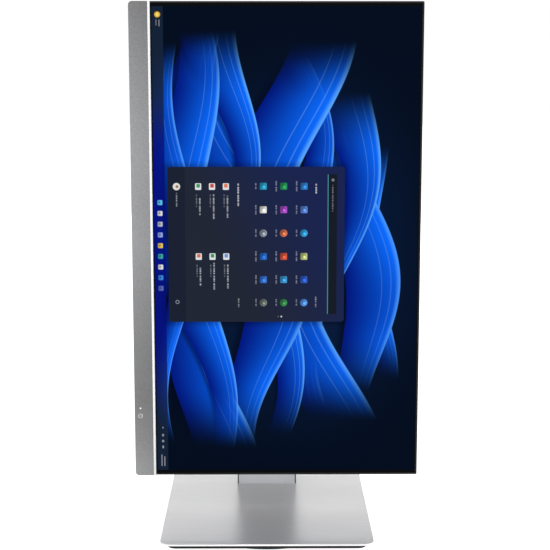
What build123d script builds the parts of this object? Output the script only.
from build123d import *
import math
import os

# Computer monitor on a height / tilt / pivot / swivel stand, held upright (portrait).
# Millimetres. +Z up, the viewer sits on the -Y side, +X to the viewer's right.
# Origin: on the desk, on the swivel axis of the base.

os.makedirs("parts", exist_ok=True)
CUT = Mode.SUBTRACT

# ================================================================= DRIVING DIMENSIONS
# base
BASE_TOP = 17.5            # top of the base plate above the desk
BASE_W, BASE_D, BASE_R = 232.0, 270.0, 13.0
BASE_Y = 10.0              # the plate reaches further behind the swivel axis than in front of it
PLATE_T = 2.2              # steel base plate
TRAY_INSET, TRAY_T = 8.0, 2.8
TRAY_FLOOR_T = 0.9         # tray floor below the ballast
RIM_Z = 9.7                # lower edge of the tray's rim
FOOT_R = 97.0              # turntable foot disc
PAD_R, PAD_T = 92.0, 1.0   # rubber pad the whole monitor stands on
SWIVEL_T = 2.6             # steel swivel plate
SWIVEL_SCREW_R = 50.0      # pitch radius of its four screws
SPINDLE_R = 8.0

PLATE_Z = BASE_TOP - PLATE_T
TRAY_Z = PLATE_Z - TRAY_T
BALLAST_Z = TRAY_Z + TRAY_FLOOR_T
SWIVEL_Z = TRAY_Z - SWIVEL_T

# column, fixed half
COL_Y, COL_BACK = 85.0, 123.0        # front and rear faces
SHELL_Y = COL_Y + 2.0                # rear face of the front plate
COL_HALF, PLATE_HALF = 35.6, 34.3    # half widths of shell and front plate
COVER_HALF = 33.1                    # half width of the rear cover and foot block
SHELL_INNER = 33.2                   # half width inside the shell
COL_TOP, COLLAR_T = 250.0, 5.0
SHELL_TOP = COL_TOP - COLLAR_T
COL_FOOT_TOP = 27.0
COL_SCREWS = [(-26.0, 96.0), (26.0, 96.0), (-26.0, 109.0), (26.0, 109.0)]

# column, moving tube and gas spring
INNER_HALF, INNER_Y0, INNER_Y1, INNER_T = 29.2, 93.0, 116.6, 1.8
INNER_Z0, INNER_Z1 = 124.0, 369.5
INNER_D = INNER_Y1 - INNER_Y0
GAS_Y = (INNER_Y0 + INNER_Y1) / 2
GAS_ROD_R = 4.0

# head
AXIS_Z = 326.0             # height of the pivot axis (screen centre)
TILT_Y = 62.0              # tilt axis, parallel to X
TILT_R = 5.0               # tilt shaft
EAR_R = 13.0
BRACKET_EAR = (25.0, 27.5)           # |X| of the ears' inner and outer faces
YOKE_EAR = (21.0, 23.5)
BRACKET_Y = INNER_Y0 - 2.5           # front face of the bracket's back plate
YOKE_Y0, YOKE_Y1 = 37.0, 40.0        # yoke face plate
STOP_R = 24.0                        # radius of the pivot stop slot
PIVOT_R, PIVOT_END = 15.0, 44.0      # pivot shaft radius and its rear end
MOUNT_HALF = 34.0                    # half pitch of the mount plate screws
MOUNT_T = 2.5

# display
GLASS_Y = -3.0             # front plane of the screen surround
CHIN_Y = -6.1              # front plane of the chin
FRAME_BACK = 6.0           # joint between surround and rear cover
PANEL_H = 269.0            # half of the long side
X_CHIN = -151.5            # outer edge of the chin (left side while upright)
X_FAR = 173.5              # opposite long edge
CHIN_W, TRIM_W = 21.2, 3.1
X_TRIM0 = X_CHIN + CHIN_W
X_TRIM1 = X_TRIM0 + TRIM_W
LIP, SEAT_EDGE = 2.0, 1.6  # visible lip, wall round the cell seat
CORNER_R, SMALL_R = 4.3, 1.3
RIM_Y = GLASS_Y + 14.0     # rear face of the thin rim
BULGE_Y = GLASS_Y + 42.0   # rear face of the electronics housing
FLOOR_Y = GLASS_Y + 34.0   # floor of the mounting recess
WALL = 2.4
CLEAR_Y = 60.0             # cuts through the rear end here, behind all material
HOUSING_X, HOUSING_W, HOUSING_H = -7.0, 222.0, 330.0
HOUSING_TAPER = 25.0
RECESS_HALF = 62.0         # mounting recess
VESA_HALF = 50.0

# display layers, front to rear
CELL_Y, CELL_BACK = -2.4, -0.7
CELL_X0, CELL_X1, CELL_HALF = -130.6, 171.6, 267.2
CHASSIS_Y, CHASSIS_BACK = 3.8, 4.8
CHASSIS_HALF = 262.0
BOARD_Y, BOARD_BACK = 11.0, 12.6
BRIDGE_T = 1.6             # sheet of the raised mounting bridge
BRIDGE_BACK = FLOOR_Y - WALL
BRIDGE_Y = BRIDGE_BACK - BRIDGE_T
BRIDGE_HALF = 72.0


# ================================================================= HELPERS
def down(u):
    """Height of a point at distance u below the pivot axis."""
    return AXIS_Z - u


def corners(half_x, half_z):
    """Four (x, z) points placed symmetrically round the pivot axis."""
    return [(sx * half_x, AXIS_Z + sz * half_z) for sx in (-1, 1) for sz in (-1, 1)]


def mirrored(inner, outer):
    """X spans between two distances from the centre plane, left then right."""
    return ((-outer, -inner), (inner, outer))


def block(x0, x1, y0, y1, z0, z1, mode=Mode.ADD):
    """Rectangular block between the given faces, each pair in either order."""
    with Locations(((x0 + x1) / 2, (y0 + y1) / 2, (z0 + z1) / 2)):
        Box(abs(x1 - x0), abs(y1 - y0), abs(z1 - z0), mode=mode)


def block_u(x0, x1, y0, y1, u0, u1, mode=Mode.ADD):
    """Block whose ends are given as distances below the pivot axis."""
    block(x0, x1, y0, y1, down(u0), down(u1), mode)


def slab(x0, x1, y0, y1, half, mode=Mode.ADD):
    """Block of the given half height, centred on the pivot axis height."""
    block(x0, x1, y0, y1, AXIS_Z - half, AXIS_Z + half, mode)


def cyl_x(y, z, r, x0, x1, mode=Mode.ADD):
    with Locations(((x0 + x1) / 2, y, z)):
        Cylinder(r, abs(x1 - x0), rotation=(0, 90, 0), mode=mode)


def cyl_y(x, z, r, y0, y1, mode=Mode.ADD):
    with Locations((x, (y0 + y1) / 2, z)):
        Cylinder(r, abs(y1 - y0), rotation=(90, 0, 0), mode=mode)


def cyl_z(x, y, r, z0, z1, mode=Mode.ADD):
    with Locations((x, y, (z0 + z1) / 2)):
        Cylinder(r, abs(z1 - z0), mode=mode)


def cyls_y(places, r, y0, y1, mode=Mode.ADD):
    """The same cylinder along Y at each (x, z) place."""
    for x, z in places:
        cyl_y(x, z, r, y0, y1, mode)


def base_outline(inset, r):
    """Outline of the base, drawn in by the given distance all round."""
    with Locations((0, BASE_Y)):
        RectangleRounded(BASE_W - 2 * inset, BASE_D - 2 * inset, r)


def tube_outline():
    """Outer outline of the moving tube."""
    with Locations((0, GAS_Y)):
        RectangleRounded(2 * INNER_HALF, INNER_D, 2.0)


def swivel_places():
    return PolarLocations(SWIVEL_SCREW_R, 4, start_angle=45)


def column_places():
    return Locations(*COL_SCREWS)


def tilt_ears(x_span, y0, y1, bore_r):
    """Two rounded ears bored for the tilt shaft."""
    for x0, x1 in mirrored(*x_span):
        block(x0, x1, y0, y1, AXIS_Z - EAR_R, AXIS_Z + EAR_R)
        cyl_x(TILT_Y, AXIS_Z, EAR_R, x0, x1)
    for x0, x1 in mirrored(*x_span):
        cyl_x(TILT_Y, AXIS_Z, bore_r, x0 - 1, x1 + 1, CUT)


def screws_z(places, seat_z, length):
    """Cross-slotted screws pointing up, heads below seat_z."""
    head_t = 2.2
    with BuildPart() as screws:
        with BuildSketch(Plane.XY.offset(seat_z)):
            with places():
                Circle(2.4)
        extrude(amount=length)
        with BuildSketch(Plane.XY.offset(seat_z - head_t)):
            with places():
                Circle(4.5)
        extrude(amount=head_t)
        with BuildSketch(Plane.XY.offset(seat_z - head_t)):
            with places():
                Rectangle(5.0, 0.9)
                Rectangle(0.9, 5.0)
        extrude(amount=1.2, mode=CUT)
    return screws


def screws_y(places, tip_y, seat_y, head_y, shank_r, head_r, slot_depth, slot_half, slot_half_w):
    """Cross-slotted screws along Y; the slot is cut from the head's end at head_y."""
    outward = math.copysign(1.0, head_y - seat_y)
    slot_y0, slot_y1 = head_y - outward * slot_depth, head_y + outward
    with BuildPart() as screws:
        for x, z in places:
            cyl_y(x, z, shank_r, tip_y, seat_y)
            cyl_y(x, z, head_r, seat_y, head_y)
        for x, z in places:
            for dx, dz in ((slot_half, slot_half_w), (slot_half_w, slot_half)):
                block(x - dx, x + dx, slot_y0, slot_y1, z - dz, z + dz, CUT)
    return screws


def save(builder, name):
    builder.part.label = name
    export_step(builder.part, f"parts/{name}.step")


# plane facing the rear: local x = X, local y = -Z, normal = +Y, centred on the pivot axis
REAR = Plane(origin=(0, 0, AXIS_Z), x_dir=(1, 0, 0), z_dir=(0, 1, 0))

# ================================================================= BASE
# rubber pad: full disc, the only thing touching the desk
with BuildPart() as foot_rubber_pad:
    with BuildSketch(Plane.XY):
        Circle(PAD_R)
    extrude(amount=PAD_T)
save(foot_rubber_pad, "foot_rubber_pad")

# turntable foot: dished disc with a bearing seat and a bored hub
HUB_BORE_R = 8.05
HUB_UNDER_Z = 5.0          # underside of the hub
FOOT_TOP = 9.0
BEARING_Z = 8.0            # floor of the bearing seat
with BuildPart() as turntable_foot:
    with BuildSketch(Plane.XZ):
        with BuildLine():
            # radius, height
            Polyline((HUB_BORE_R, FOOT_TOP), (HUB_BORE_R, HUB_UNDER_Z), (17.0, HUB_UNDER_Z),
                     (17.0, PAD_T), (FOOT_R - 0.7, PAD_T), (FOOT_R, PAD_T + 0.7), (FOOT_R, 8.6),
                     (FOOT_R - 0.4, FOOT_TOP), (88.0, FOOT_TOP), (88.0, BEARING_Z),
                     (72.0, BEARING_Z), (72.0, 5.0), (20.0, 5.6), (20.0, FOOT_TOP),
                     (HUB_BORE_R, FOOT_TOP))
        make_face()
    revolve(axis=Axis.Z)
save(turntable_foot, "turntable_foot")

# acetal bearing ring lying in the seat, with a circle of holes
with BuildPart() as bearing_ring:
    with BuildSketch(Plane.XY.offset(BEARING_Z)):
        Circle(87.6)
        Circle(72.6, mode=CUT)
    extrude(amount=1.8)
    with PolarLocations(80.0, 24):
        Cylinder(3.0, 30.0, mode=CUT)
save(bearing_ring, "bearing_ring")

# steel swivel plate that turns with the stand
with BuildPart() as swivel_plate:
    with BuildSketch(Plane.XY.offset(SWIVEL_Z)):
        Circle(88.0)
        Circle(SPINDLE_R, mode=CUT)
        with swivel_places():
            Circle(2.5, mode=CUT)
        with PolarLocations(62.0, 4):
            Circle(9.0, mode=CUT)
    extrude(amount=SWIVEL_T)
save(swivel_plate, "swivel_plate")

# spindle: bored, flanged pin pressed in the swivel plate
NUT_Z = 2.0                # lower end of spindle and nut
with BuildPart() as swivel_spindle:
    cyl_z(0, 0, SPINDLE_R, NUT_Z, TRAY_Z)
    cyl_z(0, 0, 12.0, TRAY_Z, TRAY_Z + 0.9)
    cyl_z(0, 0, 3.0, 1.0, 14.0, CUT)
save(swivel_spindle, "swivel_spindle")

# flanged nut under the hub keeps the turntable together
NUT_HEX_T = 2.1
with BuildPart() as swivel_nut:
    with BuildSketch(Plane.XY.offset(NUT_Z)):
        RegularPolygon(12.5, 6)
        Circle(SPINDLE_R, mode=CUT)
    extrude(amount=NUT_HEX_T)
    with BuildSketch(Plane.XY.offset(NUT_Z + NUT_HEX_T)):
        Circle(15.0)
        Circle(SPINDLE_R, mode=CUT)
    extrude(amount=0.8)
save(swivel_nut, "swivel_nut")

# four screws from the swivel plate up into the ballast
save(screws_z(swivel_places, seat_z=SWIVEL_Z, length=5.0), "swivel_screws")

# black tray below the plate, inset all round, with a rim that hides the turntable
with BuildPart() as base_tray:
    with BuildSketch(Plane.XY.offset(RIM_Z)):
        base_outline(TRAY_INSET, BASE_R - 4.0)
    extrude(amount=PLATE_Z - RIM_Z)
    chamfer(base_tray.edges().group_by(Axis.Z)[0], 0.4)
    # hollow inside the rim, below the floor
    with BuildSketch(Plane.XY.offset(RIM_Z)):
        base_outline(TRAY_INSET + 2.2, BASE_R - 6.2)
    extrude(amount=TRAY_Z - RIM_Z, mode=CUT)
    # pocket for the ballast, above the floor
    with BuildSketch(Plane.XY.offset(BALLAST_Z)):
        base_outline(TRAY_INSET + 2.5, BASE_R - 6.0)
    extrude(amount=TRAY_T, mode=CUT)
    cyl_z(0, 0, 12.6, TRAY_Z - 1, TRAY_Z + 2, CUT)
    with BuildSketch(Plane.XY.offset(TRAY_Z)):
        with swivel_places():
            Circle(2.6)
        with column_places():
            Circle(2.6)
    extrude(amount=TRAY_T, mode=CUT)
save(base_tray, "base_tray")

# steel ballast sheet in the tray
with BuildPart() as base_ballast:
    with BuildSketch(Plane.XY.offset(BALLAST_Z)):
        base_outline(TRAY_INSET + 3.0, BASE_R - 6.5)
        with swivel_places():
            Circle(2.45, mode=CUT)
        with column_places():
            Circle(2.6, mode=CUT)
    extrude(amount=TRAY_T - TRAY_FLOOR_T)
save(base_ballast, "base_ballast")

# brushed plate seen from above
with BuildPart() as base_plate:
    with BuildSketch(Plane.XY.offset(PLATE_Z)):
        base_outline(0.0, BASE_R)
    extrude(amount=PLATE_T)
    fillet(base_plate.edges().group_by(Axis.Z)[-1], 0.5)
    chamfer(base_plate.edges().group_by(Axis.Z)[0], 0.3)
    with BuildSketch(Plane.XY.offset(PLATE_Z - 1)):
        with column_places():
            Circle(2.6)
    extrude(amount=PLATE_T + 2, mode=CUT)
save(base_plate, "base_plate")

# four screws from below the tray into the column foot
save(screws_z(column_places, seat_z=TRAY_Z, length=12.0), "column_screws")

# ================================================================= COLUMN (fixed half)
# die-cast foot block inside the column, hollowed round a boss for the gas spring rod
with BuildPart() as column_foot:
    block(-COVER_HALF, COVER_HALF, 89.5, 120.5, BASE_TOP, COL_FOOT_TOP)
    block(-19.0, 19.0, 93.0, 117.0, 22.0, COL_FOOT_TOP, CUT)
    cyl_z(0, GAS_Y, 9.0, 21.0, COL_FOOT_TOP)
    cyl_z(0, GAS_Y, GAS_ROD_R, 20.0, COL_FOOT_TOP + 1, CUT)
    with BuildSketch(Plane.XY.offset(BASE_TOP)):
        with column_places():
            Circle(2.45)
    extrude(amount=8.0, mode=CUT)
save(column_foot, "column_foot")

# black plastic shell, U section open to the rear
SHELL_INNER_Y = SHELL_Y + 2.4
with BuildPart() as column_shell:
    with BuildSketch(Plane.XY.offset(BASE_TOP)):
        with BuildLine():
            Polyline((-COL_HALF, SHELL_Y), (COL_HALF, SHELL_Y), (COL_HALF, COL_BACK),
                     (SHELL_INNER, COL_BACK), (SHELL_INNER, SHELL_INNER_Y),
                     (-SHELL_INNER, SHELL_INNER_Y), (-SHELL_INNER, COL_BACK),
                     (-COL_HALF, COL_BACK), (-COL_HALF, SHELL_Y))
        make_face()
    extrude(amount=SHELL_TOP - BASE_TOP)
    # outer rear corners only
    fillet(column_shell.edges().filter_by(Axis.Z)
           .filter_by_position(Axis.Y, COL_BACK - 0.1, COL_BACK + 0.1)
           .filter_by(lambda e: abs(e.center().X) > 35.0), 1.8)
save(column_shell, "column_shell")

# silver front plate of the column
with BuildPart() as column_front_plate:
    block(-PLATE_HALF, PLATE_HALF, COL_Y, SHELL_Y, BASE_TOP, COL_TOP)
    fillet(column_front_plate.edges().filter_by(Axis.Z)
           .filter_by_position(Axis.Y, COL_Y - 0.1, COL_Y + 0.1), 0.7)
    chamfer(column_front_plate.edges().filter_by(Axis.X)
            .group_by(Axis.Z)[-1].group_by(Axis.Y)[0], 0.5)
save(column_front_plate, "column_front_plate")

# rear cover between the shell sides, with two shallow grooves along its length
with BuildPart() as column_rear_cover:
    block(-COVER_HALF, COVER_HALF, 120.6, COL_BACK, BASE_TOP, SHELL_TOP)
    for x in (-22.0, 22.0):
        block(x - 0.6, x + 0.6, COL_BACK - 0.7, COL_BACK + 1.0,
              BASE_TOP + 14.0, SHELL_TOP - 14.0, CUT)
save(column_rear_cover, "column_rear_cover")

# collar closing the top of the column round the moving tube
with BuildPart() as column_collar:
    with BuildSketch(Plane.XY.offset(SHELL_TOP)):
        with Locations((0, (SHELL_Y + COL_BACK) / 2)):
            Rectangle(2 * COL_HALF, COL_BACK - SHELL_Y)
        with Locations((0, GAS_Y)):
            Rectangle(2 * INNER_HALF + 0.3, INNER_D + 0.3, mode=CUT)
    extrude(amount=COLLAR_T)
    fillet(column_collar.edges().filter_by(Axis.Z).group_by(Axis.Y)[-1], 1.8)
    chamfer(column_collar.faces().sort_by(Axis.Z)[-1].outer_wire().edges(), 0.8)
save(column_collar, "column_collar")

# two C-section steel guide rails
RAIL_Y0, RAIL_Y1, RAIL_T = 90.0, 119.6, 1.5
RAIL_LIP, RAIL_WEB = 29.8, SHELL_INNER - RAIL_T    # |X| of lip ends and of the web's inner face
with BuildPart() as guide_rails:
    with BuildSketch(Plane.XY.offset(COL_FOOT_TOP)):
        for side in (-1, 1):
            with BuildLine():
                Polyline((side * SHELL_INNER, RAIL_Y0), (side * SHELL_INNER, RAIL_Y1),
                         (side * RAIL_LIP, RAIL_Y1), (side * RAIL_LIP, RAIL_Y1 - RAIL_T),
                         (side * RAIL_WEB, RAIL_Y1 - RAIL_T), (side * RAIL_WEB, RAIL_Y0 + RAIL_T),
                         (side * RAIL_LIP, RAIL_Y0 + RAIL_T), (side * RAIL_LIP, RAIL_Y0),
                         (side * SHELL_INNER, RAIL_Y0))
            make_face()
    extrude(amount=217.0)
save(guide_rails, "guide_rails")

# rod of the gas spring, screwed in the foot block, piston at its top end
PISTON_Z = 292.0
with BuildPart() as gas_spring_rod:
    cyl_z(0, GAS_Y, GAS_ROD_R, 20.0, PISTON_Z)
    cyl_z(0, GAS_Y, 7.4, PISTON_Z, PISTON_Z + 10.0)
    chamfer(gas_spring_rod.edges().group_by(Axis.Z)[-1], 0.8)
save(gas_spring_rod, "gas_spring_rod")

# ================================================================= COLUMN (moving half)
BRACKET_SCREWS = corners(18.0, 20.0)
with BuildPart() as inner_column:
    with BuildSketch(Plane.XY.offset(INNER_Z0)):
        tube_outline()
        with Locations((0, GAS_Y)):
            RectangleRounded(2 * (INNER_HALF - INNER_T), INNER_D - 2 * INNER_T, 0.6, mode=CUT)
    extrude(amount=INNER_Z1 - INNER_Z0)
    cyls_y(BRACKET_SCREWS, 2.0, INNER_Y0 - 1, INNER_Y0 + 4, CUT)
save(inner_column, "inner_column")

# acetal glide pads at the bottom of the moving tube, grooved on their outer faces
with BuildPart() as glide_pads:
    for x0, x1 in mirrored(INNER_HALF, 31.6):
        block(x0, x1, 91.6, 118.0, 126.0, 156.0)
    for x0, x1 in mirrored(31.2, 31.7):
        for z in (134.0, 141.0, 148.0):
            block(x0, x1, 91.0, 119.0, z - 1.0, z + 1.0, CUT)
save(glide_pads, "glide_pads")

# gas spring cylinder hanging from the cap by a stud
GAS_Z0, GAS_Z1 = 140.0, 352.0
GAS_END_T = 6.0
with BuildPart() as gas_spring_cylinder:
    cyl_z(0, GAS_Y, 9.0, GAS_Z0, GAS_Z1)
    fillet(gas_spring_cylinder.edges().group_by(Axis.Z)[-1], 2.0)
    fillet(gas_spring_cylinder.edges().group_by(Axis.Z)[0], 1.5)
    cyl_z(0, GAS_Y, 7.5, GAS_Z0 + GAS_END_T, GAS_Z1 - GAS_END_T, CUT)
    cyl_z(0, GAS_Y, GAS_ROD_R + 0.05, GAS_Z0 - 1, GAS_Z0 + 10, CUT)
    cyl_z(0, GAS_Y, 3.95, GAS_Z1, 369.0)
save(gas_spring_cylinder, "gas_spring_cylinder")

# cap on the moving tube, with a plug that holds the gas spring stud
with BuildPart() as column_cap:
    with BuildSketch(Plane.XY.offset(INNER_Z1)):
        tube_outline()
    extrude(amount=2.5)
    chamfer(column_cap.edges().group_by(Axis.Z)[-1], 0.8)
    block(-26.9, 26.9, INNER_Y0 + 2.3, INNER_Y1 - 2.3, INNER_Z1 - 9.0, INNER_Z1)
    cyl_z(0, GAS_Y, 4.0, INNER_Z1 - 10.0, INNER_Z1, CUT)
save(column_cap, "column_cap")

# ================================================================= HEAD
# tilt bracket: back plate and two ears, screwed to the moving tube
with BuildPart() as tilt_bracket:
    slab(-BRACKET_EAR[1], BRACKET_EAR[1], BRACKET_Y, INNER_Y0, 28.0)
    tilt_ears(BRACKET_EAR, TILT_Y, BRACKET_Y, TILT_R)
    cyls_y(BRACKET_SCREWS, 2.2, 90.0, 94.0, CUT)
save(tilt_bracket, "tilt_bracket")

save(screws_y(BRACKET_SCREWS, tip_y=BRACKET_Y + 6.0, seat_y=BRACKET_Y, head_y=BRACKET_Y - 2.2,
              shank_r=1.95, head_r=3.7, slot_depth=1.1, slot_half=2.2, slot_half_w=0.4),
     "tilt_bracket_screws")

with BuildPart() as tilt_shaft:
    cyl_x(TILT_Y, AXIS_Z, TILT_R, -32.0, 32.0)
    chamfer(tilt_shaft.edges(), 0.6)
save(tilt_shaft, "tilt_shaft")

# friction washers between the ears of yoke and bracket
with BuildPart() as tilt_washers:
    for x0, x1 in mirrored(23.6, 24.95):
        cyl_x(TILT_Y, AXIS_Z, 10.0, x0, x1)
    cyl_x(TILT_Y, AXIS_Z, 5.02, -30.0, 30.0, CUT)
save(tilt_washers, "tilt_washers")

# hexagon nuts on the shaft, against the outer faces of the bracket ears
TILT_NUT_T = 4.0
with BuildPart() as tilt_nuts:
    for x0 in (-BRACKET_EAR[1] - TILT_NUT_T, BRACKET_EAR[1]):
        with BuildSketch(Plane(origin=(x0, TILT_Y, AXIS_Z), x_dir=(0, 1, 0), z_dir=(1, 0, 0))):
            RegularPolygon(8.5, 6)
            Circle(TILT_R, mode=CUT)
        extrude(amount=TILT_NUT_T)
save(tilt_nuts, "tilt_nuts")

# plastic cover over the tilt joint, open to the front and to the column
# (the XZ plane's normal is -Y, so negative offsets go to the rear)
with BuildPart() as hinge_cover:
    with BuildSketch(Plane.XZ.offset(-56.0)):
        with Locations((0, AXIS_Z)):
            RectangleRounded(69.0, 72.0, 7.0)
    extrude(amount=-37.0)
    with BuildSketch(Plane.XZ.offset(-55.0)):
        with Locations((0, AXIS_Z)):
            RectangleRounded(64.6, 67.6, 5.0)
    extrude(amount=-39.0, mode=CUT)
save(hinge_cover, "hinge_cover")

# tilt yoke: face plate with stop slot above the pivot, two ears on the tilt shaft
with BuildPart() as tilt_yoke:
    with BuildSketch(REAR.offset(YOKE_Y0)):
        RectangleRounded(60.0, 60.0, 8.0)
        Circle(PIVOT_R + 0.05, mode=CUT)
        with BuildLine() as slot_line:
            CenterArc((0, 0), STOP_R, -45, -90)
        SlotArc(slot_line.edges()[0], 5.3, mode=CUT)
    extrude(amount=YOKE_Y1 - YOKE_Y0)
    tilt_ears(YOKE_EAR, YOKE_Y1, TILT_Y, TILT_R + 0.05)
save(tilt_yoke, "tilt_yoke")

# pivot hub: flange, bored shaft, and stop lug at one end of the yoke's slot
HUB_Y, HUB_FLANGE_Y = FLOOR_Y + MOUNT_T, 36.1      # front and rear faces of the flange
LUG_OFFSET = STOP_R * math.cos(math.radians(45))
with BuildPart() as pivot_hub:
    cyl_y(0, AXIS_Z, 16.0, 31.2, HUB_Y)
    cyl_y(0, AXIS_Z, 28.0, HUB_Y, HUB_FLANGE_Y)
    cyl_y(0, AXIS_Z, PIVOT_R, HUB_FLANGE_Y, PIVOT_END)
    cyl_y(LUG_OFFSET, AXIS_Z + LUG_OFFSET, 2.5, HUB_FLANGE_Y, 39.8)
    cyl_y(0, AXIS_Z, 9.0, 30.0, 45.0, CUT)
save(pivot_hub, "pivot_hub")

# washers in front of and behind the yoke plate
with BuildPart() as pivot_washers:
    cyl_y(0, AXIS_Z, 20.6, YOKE_Y0 - 0.8, YOKE_Y0 - 0.1)
    cyl_y(0, AXIS_Z, 20.6, YOKE_Y1 + 0.1, YOKE_Y1 + 0.8)
    cyl_y(0, AXIS_Z, PIVOT_R + 0.1, 35.0, 45.0, CUT)
save(pivot_washers, "pivot_washers")

# ring nut behind the yoke, notched round its edge
NOTCH_PITCH_R = 19.6
with BuildPart() as pivot_retainer:
    cyl_y(0, AXIS_Z, 19.5, 40.9, PIVOT_END)
    cyl_y(0, AXIS_Z, PIVOT_R, 40.0, 45.0, CUT)
    for degrees in range(0, 360, 60):
        angle = math.radians(degrees)
        cyl_y(NOTCH_PITCH_R * math.cos(angle), AXIS_Z + NOTCH_PITCH_R * math.sin(angle),
              1.8, 42.0, 45.0, CUT)
save(pivot_retainer, "pivot_retainer")

# plate on the floor of the mounting recess
with BuildPart() as mount_plate:
    with BuildSketch(REAR.offset(FLOOR_Y)):
        RectangleRounded(84.0, 84.0, 7.0)
        Circle(16.0, mode=CUT)
        with GridLocations(2 * MOUNT_HALF, 2 * MOUNT_HALF, 2, 2):
            Circle(2.2, mode=CUT)
    extrude(amount=MOUNT_T)
save(mount_plate, "mount_plate")

MOUNT_SCREWS = corners(MOUNT_HALF, MOUNT_HALF)
save(screws_y(MOUNT_SCREWS, tip_y=24.5, seat_y=HUB_Y, head_y=HUB_Y + 2.4,
              shank_r=1.95, head_r=3.8, slot_depth=1.3, slot_half=2.3, slot_half_w=0.4),
     "mount_screws")

# ================================================================= DISPLAY
# places below are x and u, the distance below the pivot axis (negative = above it)
PORT_X = -84.0                       # wall of the port recess that holds the sockets
PORT_U0, PORT_U1 = -96.0, 136.0      # ends of the port recess
PORT_Y = 12.5                        # front edge of the openings in that wall
# upper u, lower u, rear face, tongue thickness: two video, device port, two host ports
SOCKETS = [(-79.8, -62.2, 18.7, 1.0), (-51.2, -36.2, 18.5, 1.0), (-22.2, -9.8, 24.1, 4.2),
           (4.9, 19.1, 19.7, 1.6), (26.9, 41.1, 19.7, 1.6)]
SOCKET_GAP = 0.2
INLET_U0, INLET_U1, INLET_BACK = 102.0, 130.0, 32.9

BTN_X = -144.8                       # power key and lamp on the chin
BTN_Z, LED_Z = down(198.2), down(189.2)
MENU_X = -140.0
MENU_Z = [down(186.0), down(201.0), down(216.0)]

COVER_SCREWS = [(x, down(u)) for x, u in
                ((-120.0, 210.0), (-120.0, -210.0), (140.0, 210.0), (140.0, -210.0), (150.0, 0.0))]
MAIN_POSTS = [(x, down(u)) for x, u in
              ((-62.0, -60.0), (-62.0, 60.0), (38.0, -60.0), (38.0, 60.0))]
POWER_POSTS = [(x, down(u)) for x, u in
               ((-50.0, 92.0), (-50.0, 141.0), (52.0, 92.0), (52.0, 141.0))]
POSTS = MAIN_POSTS + POWER_POSTS
BRIDGE_HOLES = corners(40.0, 78.0)

# hollow of the rear cover, leaving walls round the port and mounting recesses
HOLLOW_Y = RIM_Y - WALL
with BuildPart() as cover_hollow:
    slab(X_CHIN + WALL, X_FAR - WALL, 5.0, HOLLOW_Y, PANEL_H - WALL)
    with BuildSketch(REAR.offset(HOLLOW_Y - 0.1)):
        with Locations((HOUSING_X, 0)):
            RectangleRounded(HOUSING_W - 5.0, HOUSING_H - 5.0, 9.0)
    extrude(amount=BULGE_Y - WALL - (HOLLOW_Y - 0.1), taper=HOUSING_TAPER)
    block_u(-140.0, PORT_X + WALL, HOLLOW_Y, CLEAR_Y, PORT_U1 + WALL, PORT_U0 - WALL, CUT)
    slab(-RECESS_HALF - WALL, RECESS_HALF + WALL, FLOOR_Y - WALL, CLEAR_Y, RECESS_HALF + WALL, CUT)

# rear cover: thin rim, tapered housing, port recess, mounting recess, vents
with BuildPart() as rear_cover:
    slab(X_CHIN, X_FAR, FRAME_BACK, RIM_Y, PANEL_H)
    fillet(rear_cover.edges().filter_by(Axis.Y).group_by(Axis.X)[0], CORNER_R)
    fillet(rear_cover.edges().filter_by(Axis.Y).group_by(Axis.X)[-1], SMALL_R)
    chamfer(rear_cover.faces().sort_by(Axis.Y)[-1].edges(), 1.0)
    with BuildSketch(REAR.offset(RIM_Y)):
        with Locations((HOUSING_X, 0)):
            RectangleRounded(HOUSING_W, HOUSING_H, 12.0)
    extrude(amount=BULGE_Y - RIM_Y, taper=HOUSING_TAPER)
    fillet(rear_cover.faces().sort_by(Axis.Y)[-1].edges(), 4.0)
    add(cover_hollow.part, mode=CUT)
    block_u(-130.0, PORT_X, RIM_Y, CLEAR_Y, PORT_U1, PORT_U0, CUT)
    with BuildSketch(REAR.offset(FLOOR_Y)):
        RectangleRounded(2 * RECESS_HALF, 2 * RECESS_HALF, 8.0)
    extrude(amount=20.0, mode=CUT)
    with BuildSketch(REAR.offset(FLOOR_Y - 5.0)):
        with GridLocations(2 * VESA_HALF, 2 * VESA_HALF, 2, 2):
            Circle(2.6)
        with GridLocations(2 * MOUNT_HALF, 2 * MOUNT_HALF, 2, 2):
            Circle(2.3)
    extrude(amount=10.0, mode=CUT)
    # two bands of vent slots: x, slot length, count
    with BuildSketch(REAR.offset(BULGE_Y - 6.0)):
        for x, length, count in ((76.0, 15.0, 29), (-74.0, 11.0, 21)):
            with Locations((x, 0)):
                with GridLocations(1.0, 9.0, 1, count):
                    SlotOverall(length, 3.0)
    extrude(amount=20.0, mode=CUT)
    # openings for the sockets and the mains inlet in the recess wall
    for u0, u1, back, _ in SOCKETS:
        block_u(PORT_X - 1, PORT_X + WALL + 1, PORT_Y, back + SOCKET_GAP,
                u0 - SOCKET_GAP, u1 + SOCKET_GAP, CUT)
    block_u(PORT_X - 1, PORT_X + WALL + 1, PORT_Y, INLET_BACK + 0.2,
            INLET_U0 - 0.3, INLET_U1 + 0.3, CUT)
    # menu key openings
    for z in MENU_Z:
        block(MENU_X - 2.5, MENU_X + 2.5, 0.0, 20.0, z - 4.8, z + 4.8, CUT)
    for x, z in COVER_SCREWS:
        cyl_y(x, z, 1.6, 5.0, 20.0, CUT)
        cyl_y(x, z, 3.1, RIM_Y - 1.2, 20.0, CUT)
save(rear_cover, "rear_cover")

save(screws_y(COVER_SCREWS, tip_y=4.0, seat_y=RIM_Y - 1.2, head_y=RIM_Y - 0.2,
              shank_r=1.5, head_r=2.9, slot_depth=0.5, slot_half=1.7, slot_half_w=0.3),
     "rear_cover_screws")

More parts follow.
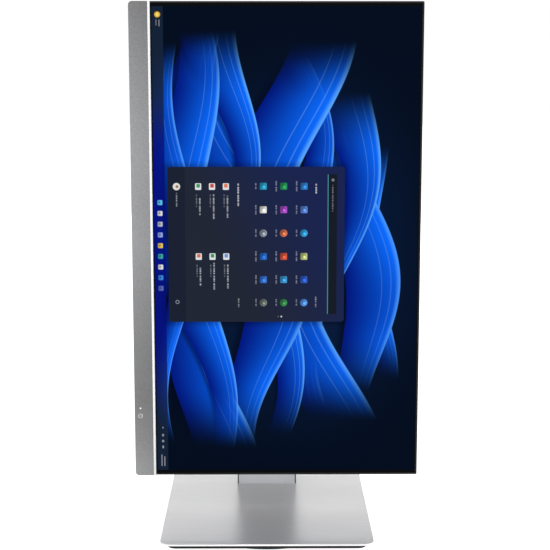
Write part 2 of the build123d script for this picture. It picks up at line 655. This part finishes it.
# black surround: thin lip on three sides, channel behind the chin
with BuildPart() as outer_frame:
    slab(X_TRIM1, X_FAR, GLASS_Y, FRAME_BACK, PANEL_H)
    fillet(outer_frame.edges().filter_by(Axis.Y).group_by(Axis.X)[-1], SMALL_R)
    slab(-149.4, X_TRIM1, CELL_Y, FRAME_BACK, 266.8)
    # seat of the cell, then the screen window
    slab(-131.0, X_FAR - SEAT_EDGE, CELL_Y, 7.0, PANEL_H - SEAT_EDGE, CUT)
    slab(-131.0, X_FAR - LIP, -5.0, 7.0, PANEL_H - LIP, CUT)
    slab(-147.8, -132.6, -5.0, 4.4, 265.0, CUT)
    for z in MENU_Z:
        cyl_y(MENU_X, z, 2.5, 0.0, 8.0, CUT)
save(outer_frame, "outer_frame")

# silver chin
CHIN_INNER_Y = CHIN_Y + 2.0
with BuildPart() as chin_cover:
    slab(X_CHIN, X_TRIM0, CHIN_Y, FRAME_BACK, PANEL_H)
    fillet(chin_cover.edges().filter_by(Axis.Y).group_by(Axis.X)[0], CORNER_R)
    fillet(chin_cover.faces().sort_by(Axis.Y)[0].edges()
           .filter_by(Axis.Z).group_by(Axis.X)[0], 0.8)
    slab(X_CHIN + 2.0, X_TRIM0 + 1.0, CHIN_INNER_Y, 7.0, PANEL_H - 1.75, CUT)
    cyl_y(BTN_X, BTN_Z, 2.8, -8.0, -3.0, CUT)
    cyl_y(BTN_X, LED_Z, 1.05, -8.0, -3.0, CUT)
save(chin_cover, "chin_cover")

# polished bevel strip between chin and screen
TRIM_BACK = -2.42
with BuildPart() as chin_trim:
    with BuildSketch(Plane.XY.offset(AXIS_Z - PANEL_H)):
        with BuildLine():
            Polyline((X_TRIM0, CHIN_Y), (X_TRIM0 + 0.35, CHIN_Y), (X_TRIM1, -3.35),
                     (X_TRIM1, TRIM_BACK), (X_TRIM0, TRIM_BACK), (X_TRIM0, CHIN_Y))
        make_face()
    extrude(amount=2 * PANEL_H)
save(chin_trim, "chin_trim")

# liquid-crystal cell with its films
with BuildPart() as lcd_cell:
    slab(CELL_X0, CELL_X1, CELL_Y, CELL_BACK, CELL_HALF)
save(lcd_cell, "lcd_cell")

# frame behind the cell: window, then a wider pocket open to the rear
with BuildPart() as panel_midframe:
    slab(CELL_X0, CELL_X1, CELL_BACK, 2.4, CELL_HALF)
    slab(-126.8, 170.4, -1.0, 3.0, 264.0, CUT)
    slab(CELL_X0 + 0.8, CELL_X1 - 0.8, 0.3, 3.0, CELL_HALF - 0.8, CUT)
save(panel_midframe, "panel_midframe")

with BuildPart() as optical_sheets:
    for y in (0.32, 0.66, 1.0):
        slab(-127.5, 169.8, y, y + 0.28, 264.6)
save(optical_sheets, "optical_sheets")

with BuildPart() as light_guide:
    slab(-126.9, 169.6, 1.4, 2.95, 264.2)
save(light_guide, "light_guide")

# tray open to the front
BACKLIGHT_WALL = 0.6
with BuildPart() as backlight_tray:
    slab(-129.6, 170.6, 0.5, CHASSIS_Y, 266.2)
    slab(-129.6 + BACKLIGHT_WALL, 170.6 - BACKLIGHT_WALL, 0.0, 3.0, 266.2 - BACKLIGHT_WALL, CUT)
    cyls_y(COVER_SCREWS, 1.5, 2.9, 5.0, CUT)
save(backlight_tray, "backlight_tray")

# strip along the chin edge of the tray with a row of 48 lamps
LED_BAR_X = -128.0
with BuildPart() as led_bar:
    slab(LED_BAR_X - 1.0, LED_BAR_X, 1.4, 3.0, 256.0)
    with BuildSketch(Plane.YZ.offset(LED_BAR_X)):
        with Locations((2.1, AXIS_Z)):
            with GridLocations(1.0, 10.6, 1, 48):
                Rectangle(1.2, 5.0)
    extrude(amount=0.7)
save(led_bar, "led_bar")

# steel chassis sheet with windows, ribs and stand-offs
with BuildPart() as chassis_plate:
    slab(-112.0, 168.0, CHASSIS_Y, CHASSIS_BACK, CHASSIS_HALF)
    slab(-128.0, -112.0, CHASSIS_Y, CHASSIS_BACK, CHASSIS_HALF)
    with BuildSketch(REAR.offset(3.0)):
        for v in (-212.0, 212.0):
            with Locations((-62.0, v), (22.0, v), (106.0, v)):
                RectangleRounded(62.0, 72.0, 8.0)
    extrude(amount=3.0, mode=CUT)
    for u in (-168.0, 168.0):
        block_u(-95.0, 135.0, CHASSIS_BACK, 6.6, u - 4.0, u + 4.0)
    cyls_y(POSTS, 3.4, CHASSIS_BACK, BOARD_Y)
    cyls_y(POSTS, 1.5, 3.0, 12.0, CUT)
    cyls_y(COVER_SCREWS, 1.5, 3.0, 8.0, CUT)
    cyls_y(BRIDGE_HOLES, 1.5, 3.0, 8.0, CUT)
save(chassis_plate, "chassis_plate")

# raised steel bridge carrying the mounting holes
VESA_BOSSES = corners(VESA_HALF, VESA_HALF)
with BuildPart() as vesa_bracket:
    slab(-62.0, 62.0, BRIDGE_Y, BRIDGE_BACK, BRIDGE_HALF)
    for side in (-1, 1):
        # leg, then its foot on the chassis
        z_leg = AXIS_Z + side * BRIDGE_HALF
        block(-56.0, 56.0, CHASSIS_BACK, BRIDGE_Y, z_leg - side * BRIDGE_T, z_leg)
        block(-56.0, 56.0, CHASSIS_BACK, CHASSIS_BACK + BRIDGE_T, z_leg, z_leg + side * 12.0)
    slab(-22.0, 22.0, 26.0, 30.0, 22.0, CUT)
    cyls_y(VESA_BOSSES, 4.5, 22.0, BRIDGE_Y)
    cyls_y(MOUNT_SCREWS, 4.0, 24.0, BRIDGE_Y)
    cyls_y(VESA_BOSSES + MOUNT_SCREWS, 2.0, 20.0, 30.0, CUT)
    cyls_y(BRIDGE_HOLES, 1.6, 3.0, 8.0, CUT)
save(vesa_bracket, "vesa_bracket")

# main circuit board with its soldered components
with BuildPart() as main_board:
    slab(-80.0, 46.0, BOARD_Y, BOARD_BACK, 66.0)
    cyls_y(MAIN_POSTS, 1.6, 10.0, 14.0, CUT)
    block_u(-30.0, -4.0, BOARD_BACK, 15.0, 18.0, -8.0)         # video processor
    block_u(-28.0, -6.0, 15.0, 20.5, 16.0, -6.0)               # its heat sink
    for k in range(7):                                         # gaps between the fins
        x = -26.4 + 3.0 * k
        block_u(x, x + 1.4, 17.0, 21.0, 16.5, -6.5, CUT)
    block_u(-32.0, -20.0, BOARD_BACK, 13.6, -22.0, -42.0)      # memory
    block_u(8.0, 16.0, BOARD_BACK, 14.0, 38.0, 28.0)           # small chip
    for k in range(4):
        cyl_y(26.0, down(-40.0 + 12.0 * k), 3.2, BOARD_BACK, 20.0)   # capacitors
    block_u(30.0, 38.0, BOARD_BACK, 18.5, 36.0, 12.0)          # harness header
    block_u(-46.0, -40.0, BOARD_BACK, 14.6, -14.0, -44.0)      # ribbon header
save(main_board, "main_board")

# power supply board
with BuildPart() as power_board:
    block_u(-60.0, 62.0, BOARD_Y, BOARD_BACK, 146.0, 87.0)
    block_u(-79.0, -60.0, BOARD_Y, BOARD_BACK, 132.0, 99.0)
    cyls_y(POWER_POSTS, 1.6, 10.0, 14.0, CUT)
    block_u(-6.0, 22.0, BOARD_BACK, 28.0, 132.0, 106.0)        # transformer core
    block_u(-2.0, 18.0, 14.0, 26.0, 135.0, 103.0)              # transformer winding
    cyl_y(-30.0, down(113.0), 8.5, BOARD_BACK, 33.0)           # bulk capacitor
    block_u(30.0, 33.0, BOARD_BACK, 30.0, 138.0, 100.0)        # heat sink
    for k in range(3):
        cyl_y(46.0, down(104.0 + 11.0 * k), 4.0, BOARD_BACK, 24.0)   # capacitors
    block_u(54.0, 60.0, BOARD_BACK, 18.5, 112.0, 96.0)         # header
save(power_board, "power_board")

save(screws_y(POSTS, tip_y=6.0, seat_y=BOARD_BACK, head_y=BOARD_BACK + 1.8,
              shank_r=1.45, head_r=2.9, slot_depth=0.8, slot_half=1.8, slot_half_w=0.3),
     "board_screws")

# mains inlet, three blades, opening towards the chin side
SOCKET_X = PORT_X - 0.4    # open face of inlet and sockets
INLET_Y, INLET_WALL = 12.7, 2.0
with BuildPart() as power_inlet:
    block_u(SOCKET_X, -61.0, INLET_Y, INLET_BACK, INLET_U1, INLET_U0)
    block_u(PORT_X - 1.0, -68.0, INLET_Y + INLET_WALL, INLET_BACK - INLET_WALL,
            INLET_U1 - INLET_WALL, INLET_U0 + INLET_WALL, CUT)
    for u, y in ((109.0, 20.5), (123.0, 20.5), (116.0, 26.0)):
        block_u(-82.0, -67.0, y - 2.0, y + 2.0, u - 1.0, u + 1.0)
save(power_inlet, "power_inlet")

# signal sockets: body, cavity, tongue
SOCKET_Y = 12.65
with BuildPart() as signal_sockets:
    for u0, u1, back, tongue in SOCKETS:
        block_u(SOCKET_X, -68.0, SOCKET_Y, back, u1, u0)
        block_u(PORT_X - 1.0, -71.0, SOCKET_Y + 0.75, back - 0.6, u1 - 0.7, u0 + 0.7, CUT)
        y_mid = (SOCKET_Y + back) / 2
        block_u(-83.0, -70.0, y_mid - tongue / 2, y_mid + tongue / 2, u1 - 3.2, u0 + 3.2)
save(signal_sockets, "signal_sockets")

# panel driver board along the chin edge, with three chips
with BuildPart() as driver_board:
    block_u(-127.0, -113.0, 4.85, 5.85, 10.0, -130.0)
    for u in (-112.0, -70.0, -34.0):
        block_u(-124.0, -117.0, 5.85, 7.2, u + 7.0, u - 7.0)
save(driver_board, "driver_board")

# ribbon from the driver board up to the main board
with BuildPart() as panel_flex:
    with BuildSketch(Plane.XY.offset(down(-24.0))):
        with BuildLine():
            Polyline((-62.0, 10.55), (-75.0, 10.55), (-79.0, 6.3), (-117.0, 6.3), (-117.0, 5.95),
                     (-78.8, 5.95), (-74.8, 10.2), (-62.0, 10.2), (-62.0, 10.55))
        make_face()
    extrude(amount=22.0)
save(panel_flex, "panel_flex")

# key board in the chin: power switch and lamp in front, menu switches behind
KEY_Y0, KEY_Y1 = -0.9, 0.3
with BuildPart() as key_board:
    block_u(-147.4, -134.0, KEY_Y0, KEY_Y1, 224.0, 178.0)
    block(BTN_X - 2.4, BTN_X + 2.4, -1.5, KEY_Y0, BTN_Z - 3.0, BTN_Z + 3.0)
    cyl_y(BTN_X, BTN_Z, 1.2, -1.7, -1.5)
    block(BTN_X - 1.0, BTN_X + 1.0, -1.5, KEY_Y0, LED_Z - 1.4, LED_Z + 1.4)
    for z in MENU_Z:
        block(MENU_X - 3.0, MENU_X + 3.0, KEY_Y1, 1.0, z - 3.0, z + 3.0)
save(key_board, "key_board")

# round power key with an engraved ring
with BuildPart() as power_button:
    cyl_y(BTN_X, BTN_Z, 2.7, -6.25, -3.2)
    cyl_y(BTN_X, BTN_Z, 3.5, -4.0, -3.2)
    cyl_y(BTN_X, BTN_Z, 1.4, -3.2, -2.3)
    fillet(power_button.edges().group_by(Axis.Y)[0], 0.25)
    with BuildSketch(Plane(origin=(BTN_X, -6.3, BTN_Z), x_dir=(1, 0, 0), z_dir=(0, 1, 0))):
        Circle(2.0)
        Circle(1.55, mode=CUT)
    extrude(amount=0.3, mode=CUT)
save(power_button, "power_button")

with BuildPart() as power_led_lens:
    cyl_y(BTN_X, LED_Z, 1.0, -6.2, -2.0)
    cyl_y(BTN_X, LED_Z, 1.6, -4.05, -3.4)
    fillet(power_led_lens.edges().group_by(Axis.Y)[0], 0.3)
save(power_led_lens, "power_led_lens")

# three menu keys on the rear, behind the chin: cap and stem
MENU_CAP_Y = 7.6
for number, z in enumerate(MENU_Z, start=1):
    with BuildPart() as menu_button:
        block(MENU_X - 2.2, MENU_X + 2.2, MENU_CAP_Y, 12.0, z - 4.5, z + 4.5)
        cyl_y(MENU_X, z, 2.0, 1.7, MENU_CAP_Y)
        fillet(menu_button.edges().group_by(Axis.Y)[-1], 0.5)
    save(menu_button, f"menu_button_{number}")
